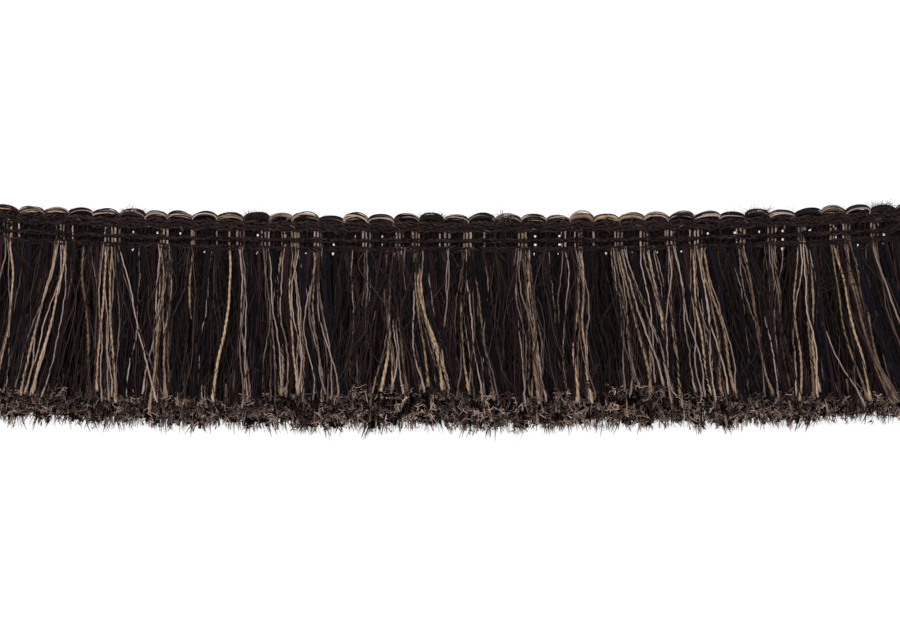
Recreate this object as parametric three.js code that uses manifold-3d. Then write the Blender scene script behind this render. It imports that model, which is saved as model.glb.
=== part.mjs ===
// A cut length of brush fringe, lying on its back: a narrow woven heading with a scalloped
// edge of yarn loops, and a thick skirt of cut yarn below it.
// Millimetres. +X runs along the trim, +Y points to the scalloped edge and +Z up from the
// surface. The origin is the middle of the heading's flat back, where the trim is sewn on.
import * as THREE from "three";
import Module from "manifold-3d";

// The length: one repeat is one bundle of yarn, with half a loop over it from each side.
const repeatLength = 5.85;
const repeatCount = 37;
const trimLength = repeatLength * repeatCount;
const bowHeight = 2.8; // the ends lie this much further up than the middle
const bowPower = 2.4; // over 2, the bend is mostly near the ends

// The woven heading.
const headingWidth = 9;
const scallopHeight = 1.5;
const scallopUnevenness = 0.3;
const repeatUnevenness = 0.45;
const columnsPerRepeat = 4;
const slotDepth = 0.8; // how deep the weave dips between two bundles

// Rows across the heading, from the scalloped edge down. rise is the height above the
// surface, follows is how much of a scallop's curve the row takes, slot is how open it is.
const headingRows = [
  { name: "loop edge", down: 0.0, rise: 1.1, follows: 1.0, slot: 0 },
  { name: "loop crest", down: 0.7, rise: 2.4, follows: 0.8, slot: 0 },
  { name: "foot of the loops", down: 1.8, rise: 2.3, follows: 0.3, slot: 0 },
  { name: "first warp cord", down: 2.5, rise: 3.0, follows: 0.1, slot: 0 },
  { name: "between the cords", down: 3.1, rise: 2.6, follows: 0, slot: 0 },
  { name: "second warp cord", down: 3.7, rise: 3.0, follows: 0, slot: 0 },
  { name: "upper slots begin", down: 4.4, rise: 2.2, follows: 0, slot: 1 },
  { name: "upper slots end", down: 5.7, rise: 2.2, follows: 0, slot: 1 },
  { name: "middle warp pair", down: 6.3, rise: 2.8, follows: 0, slot: 0 },
  { name: "lower slots", down: 7.2, rise: 2.2, follows: 0, slot: 1 },
  { name: "lower warp pair", down: 8.1, rise: 2.8, follows: 0, slot: 0 },
  { name: "lower edge", down: 9, rise: 1.6, follows: 0, slot: 0 },
];

// The skirt of cut yarn, in layers from the surface up. reach is how far below the heading
// a layer ends, and cover how much of its length of trim a layer fills.
const pieceGap = 0.3;
const stripWidth = 1.4;
const stripHeight = 2.6;
const rootDepth = 0.9; // how far a lock goes into the strip
const brushHeight = 8.4; // thickness of the skirt at its cut ends
const brushSwell = 0.6; // under 1, the skirt thickens soon after the heading
const layerGap = 0.3;
const lockGap = 0.45;
const reachUnevenness = 0.9;
const skirtLayers = [
  { name: "back", locksPerRepeat: 2, cover: 1, reach: 41, leanShare: 0.35 },
  { name: "lower", locksPerRepeat: 2, cover: 1, reach: 39, leanShare: 0.45 },
  { name: "upper", locksPerRepeat: 2, cover: 1, reach: 36.8, leanShare: 0.6 },
  { name: "face", locksPerRepeat: 1, cover: 0.66, reach: 33.8, leanShare: 1 },
];
// Where each lock is measured, as shares of its length, and how spread a bundle is there.
const lockStations = [
  { share: 0, spread: 0.64 },
  { share: 0.18, spread: 0.8 },
  { share: 0.55, spread: 0.96 },
  { share: 1, spread: 1 },
];
const leanPower = 1.3; // over 1, a bundle leans more towards its end

// How far the face's bundles lean sideways at their cut ends, along the trim.
const leans = [
  { x: -112, lean: -1.6 },
  { x: -91, lean: -5.2 },
  { x: -79, lean: -0.4 },
  { x: -66, lean: 0.0 },
  { x: -52, lean: -1.8 },
  { x: -42, lean: -1.2 },
  { x: -30, lean: 1.6 },
  { x: -16, lean: -1.4 },
  { x: -4, lean: 3.4 },
  { x: 17, lean: 3.8 },
  { x: 30, lean: 1.4 },
  { x: 40, lean: 3.2 },
  { x: 58, lean: 6.6 },
  { x: 69, lean: 5.4 },
  { x: 80, lean: 3.0 },
  { x: 92, lean: 7.8 },
  { x: 112, lean: 7.2 },
];

const colours = { heading: 0x2b1f1c, skirt: 0x33261f };

const wasm = await Module();
wasm.setup();

// A repeatable number from -1 to 1 for each seed.
function uneven(seed) {
  const wave = Math.sin(seed * 12.9898 + 4.137) * 43758.5453;
  return 2 * (wave - Math.floor(wave)) - 1;
}

// The trim doesn't lie dead straight: its line at x.
function bowAt(x) {
  const along = Math.abs(x) / (trimLength / 2);
  return bowHeight * along ** bowPower;
}

// How far a bundle that leaves the heading at x leans at its cut end.
function leanAt(x) {
  const next = leans.findIndex((row) => row.x > x);
  const after = leans[Math.max(next, 1)];
  const before = leans[Math.max(next, 1) - 1];
  const share = THREE.MathUtils.smoothstep(x, before.x, after.x);
  return THREE.MathUtils.lerp(before.lean, after.lean, share);
}

// Where repeat number n begins; the last one ends at the cut end.
function repeatStart(n) {
  const cutEnd = n === 0 || n === repeatCount;
  const shift = cutEnd ? 0 : repeatUnevenness * uneven(n + 0.5);
  return n * repeatLength - trimLength / 2 + shift;
}

// A closed skin over a row of rings that all turn the same way. flat gives the two
// coordinates that the end faces are seen in.
function loft(rings, flat) {
  const size = rings[0].length;
  const last = (rings.length - 1) * size;
  const index = [];
  for (let start = 0; start < last; start += size) {
    for (let side = 0; side < size; side++) {
      const here = start + side;
      const beside = start + ((side + 1) % size);
      index.push(here, beside, beside + size);
      index.push(here, beside + size, here + size);
    }
  }
  for (const [a, b, c] of THREE.ShapeUtils.triangulateShape(rings[0].map(flat), [])) {
    index.push(a, c, b);
  }
  const end = rings[rings.length - 1].map(flat);
  for (const [a, b, c] of THREE.ShapeUtils.triangulateShape(end, [])) {
    index.push(last + a, last + b, last + c);
  }
  return new THREE.BufferGeometry().setFromPoints(rings.flat()).setIndex(index);
}

// One section across the heading. phase is the place within a repeat, from 0 to 1. A loop's
// crest is at 0, over the gap between two bundles, and the notch between two loops at a half.
function headingSection(x, phase, scallop) {
  const fromCrest = 2 * Math.min(phase, 1 - phase);
  const curve = Math.sqrt(1 - fromCrest ** 2);
  const drop = scallop * (1 - curve);
  const top = headingWidth / 2 + bowAt(x);
  const openness = 1 - Math.sin(Math.PI * phase);
  const face = headingRows.map((row) => {
    const y = top - row.down - row.follows * drop;
    return new THREE.Vector3(x, y, row.rise - row.slot * slotDepth * openness);
  });
  const foot = (point) => new THREE.Vector3(x, point.y, 0);
  return [...face, foot(face[face.length - 1]), foot(face[0])];
}

function headingGeometry() {
  const rings = [];
  for (let n = 0; n < repeatCount; n++) {
    const start = repeatStart(n);
    const step = (repeatStart(n + 1) - start) / columnsPerRepeat;
    const scallop = scallopHeight + scallopUnevenness * uneven(n + 20);
    for (let column = 0; column < columnsPerRepeat; column++) {
      rings.push(headingSection(start + column * step, column / columnsPerRepeat, scallop));
    }
  }
  rings.push(headingSection(trimLength / 2, 1, scallopHeight));
  return loft(rings, (point) => new THREE.Vector2(point.y, point.z));
}

// The narrow strip that the locks are rooted in, just below the heading.
function stripGeometry() {
  const rings = [];
  for (let n = 0; n <= repeatCount; n++) {
    const x = repeatStart(n);
    const top = bowAt(x) - headingWidth / 2 - pieceGap;
    rings.push([
      new THREE.Vector3(x, top, stripHeight),
      new THREE.Vector3(x, top - stripWidth, stripHeight),
      new THREE.Vector3(x, top - stripWidth, 0),
      new THREE.Vector3(x, top, 0),
    ]);
  }
  return loft(rings, (point) => new THREE.Vector2(point.y, point.z));
}

// One edge of a lock, at a station: it spreads from the bundle and leans with its place.
function lockEdge(lock, rootX, station) {
  const spread = lock.bundleX + (rootX - lock.bundleX) * station.spread;
  return spread + leanAt(rootX) * lock.leanShare * station.share ** leanPower;
}

// One lock of yarn: three sides, its flat one down, in its layer of the skirt.
function lockGeometry(lock) {
  const headingEdge = bowAt(lock.bundleX) - headingWidth / 2;
  const rootY = headingEdge - pieceGap - stripWidth + rootDepth;
  const length = rootY - headingEdge + lock.reach;
  const rings = lockStations.map((station) => {
    const swell = station.share ** brushSwell;
    const thickness = THREE.MathUtils.lerp(stripHeight, brushHeight, swell);
    const layer = thickness / skirtLayers.length;
    const low = lock.level * layer;
    const left = lockEdge(lock, lock.left, station) + lockGap / 2;
    const right = lockEdge(lock, lock.right, station) - lockGap / 2;
    const y = rootY - length * station.share;
    return [
      new THREE.Vector3((left + right) / 2, y, low + layer - layerGap),
      new THREE.Vector3(left, y, low),
      new THREE.Vector3(right, y, low),
    ];
  });
  return loft(rings, (point) => new THREE.Vector2(point.x, point.z));
}

// The locks of one repeat in one layer: where each one's edges leave the heading.
function repeatLocks(layer, level, n) {
  const locks = [];
  const bundleX = (repeatStart(n) + repeatStart(n + 1)) / 2;
  const width = (repeatStart(n + 1) - repeatStart(n)) * layer.cover;
  const room = width / layer.locksPerRepeat;
  for (let side = 0; side < layer.locksPerRepeat; side++) {
    const left = bundleX - width / 2 + side * room;
    const seed = level * repeatCount * 2 + n * 2 + side;
    const reach = layer.reach + reachUnevenness * uneven(seed + 0.2);
    locks.push({ level, bundleX, left, right: left + room, reach, leanShare: layer.leanShare });
  }
  return locks;
}

function skirtLocks() {
  const repeats = [...Array(repeatCount).keys()];
  return skirtLayers.flatMap((layer, level) => repeats.flatMap((n) => repeatLocks(layer, level, n)));
}

function toSolid(geometry) {
  const vertProperties = geometry.getAttribute("position").array;
  const triVerts = new Uint32Array(geometry.index.array);
  return new wasm.Manifold(new wasm.Mesh({ numProp: 3, vertProperties, triVerts }));
}

function toGeometry(solid) {
  const mesh = solid.getMesh();
  const positions = new THREE.BufferAttribute(mesh.vertProperties, mesh.numProp);
  const index = new THREE.BufferAttribute(mesh.triVerts, 1);
  return new THREE.BufferGeometry().setAttribute("position", positions).setIndex(index);
}

function skirtGeometry() {
  const solids = [stripGeometry(), ...skirtLocks().map(lockGeometry)].map(toSolid);
  return toGeometry(wasm.Manifold.union(solids));
}

function cloth(name, geometry) {
  const material = new THREE.MeshStandardMaterial({
    color: colours[name],
    roughness: 0.95,
    metalness: 0,
    flatShading: true,
  });
  const mesh = new THREE.Mesh(geometry, material);
  mesh.name = name;
  return mesh;
}

const trim = new THREE.Group();
trim.add(cloth("heading", headingGeometry()));
trim.add(cloth("skirt", skirtGeometry()));

export default trim;
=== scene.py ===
import math

import bmesh
import bpy
import numpy as np
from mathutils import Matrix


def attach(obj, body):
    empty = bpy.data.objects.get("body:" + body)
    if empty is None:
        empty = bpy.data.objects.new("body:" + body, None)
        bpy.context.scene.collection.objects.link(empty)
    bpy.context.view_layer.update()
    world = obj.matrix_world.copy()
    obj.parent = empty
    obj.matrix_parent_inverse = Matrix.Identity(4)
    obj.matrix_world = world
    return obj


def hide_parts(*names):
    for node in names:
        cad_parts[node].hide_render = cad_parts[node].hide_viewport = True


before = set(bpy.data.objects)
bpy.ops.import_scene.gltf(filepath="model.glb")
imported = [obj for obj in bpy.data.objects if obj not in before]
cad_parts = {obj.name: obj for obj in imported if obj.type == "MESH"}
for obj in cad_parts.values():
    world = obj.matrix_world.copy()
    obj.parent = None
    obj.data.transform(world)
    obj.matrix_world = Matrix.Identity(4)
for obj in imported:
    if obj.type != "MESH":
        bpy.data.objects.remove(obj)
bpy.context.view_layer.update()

# sizes are in millimetres unless noted: x along the trim, y across it and z up from the surface
mm = 0.001
pi = math.pi
trim = {
    "repeat": 5.85,  # one bundle of yarn, with half a loop over it from each side
    "repeats": 37,
    "unevenRepeat": 0.45,
    "bow": 2.8,  # the ends lie this much further up
    "bowPower": 2.4,
    "headingWidth": 9.0,
}
trimLength = trim["repeat"] * trim["repeats"]

# how far the bundles lean sideways at their cut ends, by their place along the trim
leans = {
    -112: -1.6, -91: -5.2, -79: -0.4, -66: 0.0, -52: -1.8, -42: -1.2, -30: 1.6, -16: -1.4, -4: 3.4,
    17: 3.8, 30: 1.4, 40: 3.2, 58: 6.6, 69: 5.4, 80: 3.0, 92: 7.8, 112: 7.2,
}
# the gaps between bundles that can be seen through, numbered from the left end
openBelow = (6, 9, 11, 13, 14, 22, 23, 25, 26, 27, 28, 32, 34, 35, 36)
openUpper = (1, 5, 6, 7, 8, 11, 15, 16, 22, 23, 29, 30, 31, 32, 33, 34)
openLower = (14, 16, 22, 23, 32, 34, 36)


def uneven(seed):
    wave = np.sin(np.asarray(seed) * 12.9898 + 4.137) * 43758.5453
    return 2 * (wave - np.floor(wave)) - 1


gapNumbers = np.arange(trim["repeats"] + 1)
gaps = gapNumbers * trim["repeat"] - trimLength / 2
gaps[1:-1] += trim["unevenRepeat"] * uneven(gapNumbers[1:-1] + 0.5)
middles = (gaps[1:] + gaps[:-1]) / 2
halves = (gaps[1:] - gaps[:-1]) / 2


def bowAt(x):
    return trim["bow"] * np.abs(np.asarray(x) / (trimLength / 2)) ** trim["bowPower"]


def headingTop(x):
    return trim["headingWidth"] / 2 + bowAt(x)


def headingFoot(x):
    return bowAt(x) - trim["headingWidth"] / 2


def leanAt(x):
    places, sizes = np.array(list(leans)), np.array(list(leans.values()))
    after = np.clip(np.searchsorted(places, x, side="right"), 1, len(places) - 1)
    share = (x - places[after - 1]) / (places[after] - places[after - 1])
    return sizes[after - 1] + (sizes[after] - sizes[after - 1]) * share**2 * (3 - 2 * share)


def bundleOf(x):
    return np.clip(np.searchsorted(gaps, x) - 1, 0, trim["repeats"] - 1)


# yarn: many paths swept with a small ring and joined in one mesh
def ringPoints(batch):
    paths, radii, sides = batch["paths"], batch["radii"], batch["sides"]
    run = np.gradient(paths, axis=1)
    run /= np.linalg.norm(run, axis=2, keepdims=True)
    steep = np.abs(run[:, :, 2].mean(axis=1)) > 0.8
    up = np.where(steep[:, None, None], [1.0, 0.0, 0.0], [0.0, 0.0, 1.0])
    across = np.cross(run, up)
    across /= np.linalg.norm(across, axis=2, keepdims=True)
    above = np.cross(across, run)
    steps = np.linalg.norm(np.diff(paths, axis=1), axis=2)
    along = np.concatenate([np.zeros((len(paths), 1)), np.cumsum(steps, axis=1)], axis=1)
    angle = 2 * pi * np.arange(sides) / sides
    turn = angle + (2 * pi * along / batch["pitch"])[:, :, None] if batch.get("pitch") else angle
    turn = np.broadcast_to(turn, (*along.shape, sides))
    size = radii[:, :, None] * (1 + batch.get("lobes", 0) * np.cos(2 * angle))
    ring = np.cos(turn)[..., None] * across[:, :, None] + np.sin(turn)[..., None] * above[:, :, None]
    return paths[:, :, None] + size[..., None] * ring, along


def joinBatches(batches):
    points, faces, uvs, tones = [], [], [], []
    first = 0
    for batch in batches:
        ring, along = ringPoints(batch)
        count, steps, sides = ring.shape[:3]
        index = first + np.arange(count * steps * sides).reshape(count, steps, sides)
        beside = np.roll(index, -1, axis=2)
        quads = np.stack([index[:, :-1], index[:, 1:], beside[:, 1:], beside[:, :-1]], axis=-1)
        around = np.broadcast_to(np.arange(sides) / sides, (count, steps - 1, sides))
        low = np.broadcast_to(along[:, :-1, None], around.shape)
        high = np.broadcast_to(along[:, 1:, None], around.shape)
        corners = [(around, low), (around, high), (around + 1 / sides, high), (around + 1 / sides, low)]
        uvs.append(np.stack([np.stack(c, axis=-1) for c in corners], axis=-2).reshape(-1, 2))
        faces += quads.reshape(-1, 4).tolist()
        for cap, end in ((index[:, 0], along[:, 0]), (index[:, -1, ::-1], along[:, -1])):
            faces += cap.tolist()
            flat = np.stack(np.broadcast_arrays(0.5, end[:, None] + np.zeros((1, sides))), axis=-1)
            uvs.append(flat.reshape(-1, 2))
        points.append(ring.reshape(-1, 3))
        tones.append(np.repeat(batch["tone"], steps * sides))
        first += count * steps * sides
    return np.concatenate(points) * mm, faces, np.concatenate(uvs), np.concatenate(tones)


def addObject(name, data):
    item = bpy.data.objects.new(name, data)
    bpy.context.scene.collection.objects.link(item)
    return item


def addPiece(name, mesh, finish):
    piece = addObject(name, mesh)
    piece.data.materials.append(finish)
    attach(piece, "root")
    triangles = sum(len(face.vertices) - 2 for face in mesh.polygons)
    print(f"{name}: {triangles} triangles")
    return piece


def yarnPiece(name, batches, finish):
    points, faces, uvs, tones = joinBatches(batches)
    mesh = bpy.data.meshes.new(name)
    mesh.from_pydata(points.tolist(), [], faces)
    mesh.uv_layers.new(name="yarn").data.foreach_set("uv", uvs.ravel())
    mesh.attributes.new("tone", "FLOAT", "POINT").data.foreach_set("value", tones)
    mesh.shade_smooth()
    return addPiece(name, mesh, finish)


def fibrePaths(rng, start, heading, length, steps, curl):
    share = np.linspace(0, 1, steps)[None, :, None]
    bend = np.reshape(curl, (-1, 1, 1)) * rng.normal(0, 1, (len(start), 1, 3))
    return start[:, None] + length[:, None, None] * (heading[:, None] * share + bend * share**2)


def batchOf(paths, radius, sides, tone, **extra):
    radii = np.broadcast_to(np.asarray(radius, float), paths.shape[:2]).copy()
    paths = paths.copy()
    paths[:, :, 2] = np.maximum(paths[:, :, 2], radii * 1.25)  # nothing sinks into the surface
    return {"paths": paths, "radii": radii, "sides": sides, "tone": np.asarray(tone, float), **extra}


# finishes
def setInputs(node, values):
    for name, value in values.items():
        node.inputs[name].default_value = value


def newFinish(name):
    finish = bpy.data.materials.new(name)
    finish.use_nodes = True
    return finish, finish.node_tree.nodes, finish.node_tree.links.new


def makeYarnGroup():
    group = bpy.data.node_groups.new("yarnFibres", "ShaderNodeTree")
    sockets = (
        ("Dye", "NodeSocketColor", (0.1, 0.1, 0.1, 1)),
        ("Light", "NodeSocketColor", (0.2, 0.2, 0.2, 1)),
        ("Spread", "NodeSocketFloat", 1.0),
        ("Plies", "NodeSocketFloat", 2.0),
        ("Twist", "NodeSocketFloat", 0.4),
        ("Ply Shade And Depth", "NodeSocketFloat", 0.4),
        ("Fibres", "NodeSocketFloat", 1.0),
    )
    for name, kind, start in sockets:
        group.interface.new_socket(name=name, in_out="INPUT", socket_type=kind).default_value = start
    group.interface.new_socket(name="Color", in_out="OUTPUT", socket_type="NodeSocketColor")
    group.interface.new_socket(name="Height", in_out="OUTPUT", socket_type="NodeSocketFloat")
    new, link = group.nodes.new, group.links.new
    inside, outside = new("NodeGroupInput"), new("NodeGroupOutput")

    def mathNode(operation, a, b=None, c=None):
        node = new("ShaderNodeMath")
        node.operation = operation
        for socket, value in zip(node.inputs, (a, b, c)):
            if value is None:
                continue
            if isinstance(value, (int, float)):
                socket.default_value = value
            else:
                link(value, socket)
        return node.outputs[0]

    def times(a, b):
        return mathNode("MULTIPLY", a, b)

    uv = new("ShaderNodeUVMap")
    uv.uv_map = "yarn"
    split = new("ShaderNodeSeparateXYZ")
    link(uv.outputs[0], split.inputs[0])
    around, along = split.outputs[0], split.outputs[1]
    # plies that wind round the yarn
    turns = mathNode("ADD", times(around, inside.outputs["Plies"]), times(along, inside.outputs["Twist"]))
    wave = mathNode("SINE", times(turns, 2 * pi))
    ply = mathNode("MULTIPLY_ADD", wave, 0.5, 0.5)
    # streaks of single fibres, long along the yarn, over slubs and thin places
    stretched = new("ShaderNodeCombineXYZ")
    circle = times(around, 2 * pi)
    link(times(mathNode("SINE", circle), 1.6), stretched.inputs[0])
    link(times(mathNode("COSINE", circle), 1.6), stretched.inputs[1])
    tone = new("ShaderNodeAttribute")
    tone.attribute_name = "tone"
    link(mathNode("MULTIPLY_ADD", tone.outputs["Fac"], 57.0, times(along, 0.55)), stretched.inputs[2])
    streak, patch = new("ShaderNodeTexNoise"), new("ShaderNodeTexNoise")
    setInputs(streak, {"Scale": 2.2, "Detail": 3.0})
    setInputs(patch, {"Scale": 0.45, "Detail": 1.0})
    for texture in (streak, patch):
        link(stretched.outputs[0], texture.inputs["Vector"])
    # colour: strand to strand, then slubs and fibres, and painted shade in the ply valleys
    slubs = mathNode("SUBTRACT", patch.outputs["Fac"], 0.5)
    strands = times(tone.outputs["Fac"], inside.outputs["Spread"])
    mixed = mathNode("MULTIPLY_ADD", slubs, 0.9, strands)
    dyed = new("ShaderNodeMix")
    dyed.data_type = "RGBA"
    dyed.clamp_factor = True
    link(mixed, dyed.inputs["Factor"])
    link(inside.outputs["Dye"], dyed.inputs["A"])
    link(inside.outputs["Light"], dyed.inputs["B"])
    grain = times(mathNode("SUBTRACT", streak.outputs["Fac"], 0.5), inside.outputs["Fibres"])
    # painted shade: the ply valleys are made darker, and this is added to the fibre grain, which is the
    # yarn's own
    valley = times(mathNode("SUBTRACT", ply, 1.0), inside.outputs["Ply Shade And Depth"])
    shade = mathNode("ADD", mathNode("ADD", grain, valley), 1.0)
    tinted = new("ShaderNodeVectorMath")
    tinted.operation = "SCALE"
    link(dyed.outputs["Result"], tinted.inputs[0])
    link(mathNode("MAXIMUM", shade, 0.15), tinted.inputs["Scale"])
    link(tinted.outputs[0], outside.inputs["Color"])
    height = mathNode("ADD", times(ply, inside.outputs["Ply Shade And Depth"]), times(streak.outputs["Fac"], 0.5))
    link(height, outside.inputs["Height"])
    return group


yarnGroup = makeYarnGroup()


def yarnFinish(name, look):
    finish, nodes, link = newFinish(name)
    shader = nodes["Principled BSDF"]
    fibres = nodes.new("ShaderNodeGroup")
    fibres.node_tree = yarnGroup
    setInputs(fibres, {key: (*look[key], 1) for key in ("Dye", "Light")})
    setInputs(fibres, {key: look[key] for key in ("Spread", "Plies", "Twist", "Ply Shade And Depth", "Fibres")})
    bump = nodes.new("ShaderNodeBump")
    setInputs(bump, {"Strength": look["bump"], "Distance": 0.1 * mm})
    link(fibres.outputs["Height"], bump.inputs["Height"])
    link(bump.outputs["Normal"], shader.inputs["Normal"])
    link(fibres.outputs["Color"], shader.inputs["Base Color"])
    setInputs(shader, {
        "Roughness": look["roughness"], "Specular IOR Level": look["gloss"],
        "Sheen Weight": look["sheen"], "Sheen Roughness": 0.4,
    })
    return finish


# Dye is a yarn's darkest colour and Light its lightest
plain = {
    "Spread": 1.0, "Plies": 2.0, "Twist": 0.4, "Ply Shade And Depth": 0.25, "Fibres": 1.2,
    "bump": 0.6, "roughness": 0.85, "gloss": 0.08, "sheen": 0.02,
}
looks = {
    "tanYarn": {
        **plain, "Dye": (0.22, 0.132, 0.072), "Light": (0.77, 0.52, 0.335), "Ply Shade And Depth": 0.4,
        "Twist": 0.31, "roughness": 0.7, "gloss": 0.3, "sheen": 0.08,
    },
    "roseYarn": {
        **plain, "Dye": (0.14, 0.091, 0.079), "Light": (0.74, 0.548, 0.472), "Ply Shade And Depth": 0.45,
        "Twist": 1.4, "gloss": 0.2, "sheen": 0.08,
    },
    "navyYarn": {
        **plain, "Dye": (0.0031, 0.0029, 0.0046), "Light": (0.0110, 0.0098, 0.0160),
        "Ply Shade And Depth": 0.1, "roughness": 0.6, "sheen": 0.005,
    },
    "plumYarn": {
        **plain, "Dye": (0.0105, 0.0038, 0.0050), "Light": (0.058, 0.0235, 0.0305),
        "Ply Shade And Depth": 0.2,
    },
    "brownYarn": {
        **plain, "Dye": (0.0124, 0.0074, 0.0074), "Light": (0.104, 0.068, 0.060),
        "Ply Shade And Depth": 0.1,
    },
    # the core's rods are nearly black, darker than the brown yarn: painted shade for the inside of the
    # brush
    "coreShadeYarn": {**plain, "Dye": (0.0042, 0.0026, 0.0027), "Light": (0.02, 0.012, 0.0118), "gloss": 0.02},
    "cutFibre": {**plain, "Dye": (0.053, 0.0255, 0.0215), "Light": (0.97, 0.69, 0.58), "Ply Shade And Depth": 0.0},
    "cutLight": {**plain, "Dye": (0.22, 0.18, 0.17), "Light": (0.85, 0.76, 0.76), "Ply Shade And Depth": 0.0},
    "warpCord": {
        **plain, "Dye": (0.0095, 0.0060, 0.0058), "Light": (0.088, 0.056, 0.053),
        "Ply Shade And Depth": 0.5, "Twist": 0.7, "bump": 1.0,
    },
}
finishes = {name: yarnFinish(name, look) for name, look in looks.items()}
print("finishes made")

# skirt: yarns that hang from the heading's lower edge
skirt = {
    "tuck": 1.2,  # how far a yarn starts up under the heading
    "thickTop": 2.6,
    "thickEnds": 8.4,
    "swell": 0.6,
    "length": 36.0,
    "leanPower": 1.3,
    # of its four layers, from the surface up: the height, the reach and the share of the lean
    "levels": (0.12, 0.37, 0.62, 0.88),
    "reach": (41.0, 39.2, 37.2, 33.8),
    "leanShare": (0.35, 0.45, 0.6, 1.0),
    "unevenReach": 0.9,
    "unevenLean": 1.1,  # from bundle to bundle, on the face
    "opens": 14.0,  # a bundle has fanned out this far below the heading
    "sway": 0.55,  # yarns of one bundle bend together
    "pinhole": 0.27,  # half the gap at an open place
    "pinholeSteps": (0.45, 1.0),  # how far down the gap stays open, and where it is shut
}
# how far below the heading the face's yarns end, by where they leave it
faceEnds = {
    -112: 34.4, -96: 34.8, -80: 35.2, -68: 36.0, -50: 36.2, -35: 33.8, -24: 34.8, -17: 30.6, -9: 31.6,
    -1: 33.8, 17: 34.7, 25: 33.4, 30: 35.0, 37: 32.4, 46: 33.2, 51: 35.0, 64: 34.8, 78: 36.2, 112: 36.0,
}


def thickAt(down):
    swell = np.clip(down / skirt["length"], 0, 1.1) ** skirt["swell"]
    return skirt["thickTop"] + (skirt["thickEnds"] - skirt["thickTop"]) * swell


def byLayer(level, sizes):
    return np.interp(level, skirt["levels"], sizes)


def endOf(x, level):
    bundle = bundleOf(x)
    layer = np.clip((np.asarray(level) * 4).astype(int), 0, 3)
    side = (x > middles[bundle]) & (layer < 3)
    seed = layer * trim["repeats"] * 2 + bundle * 2 + side
    face = np.interp(x, list(faceEnds), list(faceEnds.values())) - skirt["reach"][-1]
    reach = byLayer(level, skirt["reach"]) + face * np.clip(level, 0, 1) ** 3
    return reach + skirt["unevenReach"] * uneven(seed + 0.2) * (1 - 0.5 * np.clip(level, 0, 1))


def yarnsAt(x, level, gather=1.0, spread=1.0, valley=0.0, together=1.0):
    # gather draws a bundle together at its root, valley lowers the yarns between two bundles,
    # and together is how far the yarns of a bundle lean and bend as one
    bundle = bundleOf(x)
    aside = x - middles[bundle]
    own = together * skirt["unevenLean"] * uneven(bundle + 80) * level
    lean = leanAt(x) * byLayer(level, skirt["leanShare"]) + own
    return {
        "x": middles[bundle] + aside * gather, "fan": aside * (spread - gather), "level": level,
        "dip": valley * (aside / halves[bundle]) ** 2, "lean": lean, "reach": endOf(x, level),
        "bundle": bundle, "sway": np.full(len(x), together * skirt["sway"]),
    }


def evenly(rng, count, margin=0.5):
    return ((rng.permutation(count) + rng.uniform(0, 1, count)) / count - 0.5) * (trimLength - 2 * margin)


def hang(rng, yarns, steps, radius, wander=0.3, kinks=0.0, begin=0.0):
    keys = ("x", "fan", "level", "dip", "lean", "reach", "sway")
    root, fan, level, dip, lean, reach, sway = (np.asarray(yarns[key], float)[:, None] for key in keys)
    wander = np.broadcast_to(wander, (len(root),))[:, None]
    share = np.linspace(begin, 1, steps)[None, :]
    if not begin:
        # the second and third points are just below the heading, where the pinholes are
        near = (np.array(skirt["pinholeSteps"]) + skirt["tuck"]) / (reach.mean() + skirt["tuck"])
        rest = near[1] + (1 - near[1]) * np.linspace(0, 1, steps - 2)[1:] ** 1.2
        share = np.concatenate([[0], near, rest])[None, :]
    down = (reach + skirt["tuck"]) * share - skirt["tuck"]
    x = root + fan * np.clip(down / skirt["opens"], 0, 1) ** 0.8 + lean * share ** skirt["leanPower"]
    z = level * (1 - dip * (1 - 0.6 * share)) * (thickAt(down) - 2 * radius) + radius
    for k, (cycles, size) in enumerate(((0.55, 1.0), (1.25, 0.45))):
        phase = pi * uneven(yarns["bundle"] * 7.7 + k)[:, None]
        x = x + sway * size * (np.sin(2 * pi * cycles * share + phase) - np.sin(phase))
    for cycles, size in ((0.8, 1.0), (1.9, 0.32), (4.3, 0.07)):
        speed = 2 * pi * cycles * rng.uniform(0.7, 1.3, root.shape) * share
        phase = rng.uniform(0, 2 * pi, (2, *root.shape))
        x = x + wander * size * (np.sin(speed + phase[0]) - np.sin(phase[0]))
        z = z + 0.4 * wander * size * (np.sin(speed + phase[1]) - np.sin(phase[1]))
    for cycles in (7.0, 12.0):
        phase = rng.uniform(0, 2 * pi, root.shape)
        x = x + kinks * np.sin(2 * pi * cycles * share + phase) * np.minimum(1, 6 * share)
    nearest = np.abs(root - gaps[None, :]).argmin(axis=1)[:, None]
    aside = root - gaps[nearest]
    room = skirt["pinhole"] + radius - np.abs(aside)
    push = np.where(np.isin(nearest, openBelow), np.maximum(0, room), 0)
    opened, shut = skirt["pinholeSteps"]
    x = x + np.sign(aside) * push * np.clip((shut - 0.1 - down) / (shut - opened - 0.2), 0, 1)
    return np.stack(np.broadcast_arrays(x, headingFoot(root) - down, z), axis=-1)


def endShape(steps, flare):
    # a yarn is drawn thin at the heading, swells on its way down and opens at its cut end
    share = np.linspace(0, 1, steps)
    opening = (flare - 1) * np.exp(-(((share - 0.975) / 0.03) ** 2))
    return 0.78 + 0.32 * share + opening - 0.25 * (share > 0.995)


# thick rods that fill the inside of the brush; their near-black colour is painted shade
core = {
    "across": (9, 7, 6, 6, 5), "levels": (0.03, 0.2, 0.42, 0.62, 0.78),
    "shorter": (1.0, 1.1, 0.9, 0.9, 1.0), "radius": 0.54, "steps": 7, "seed": 3,
}


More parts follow.
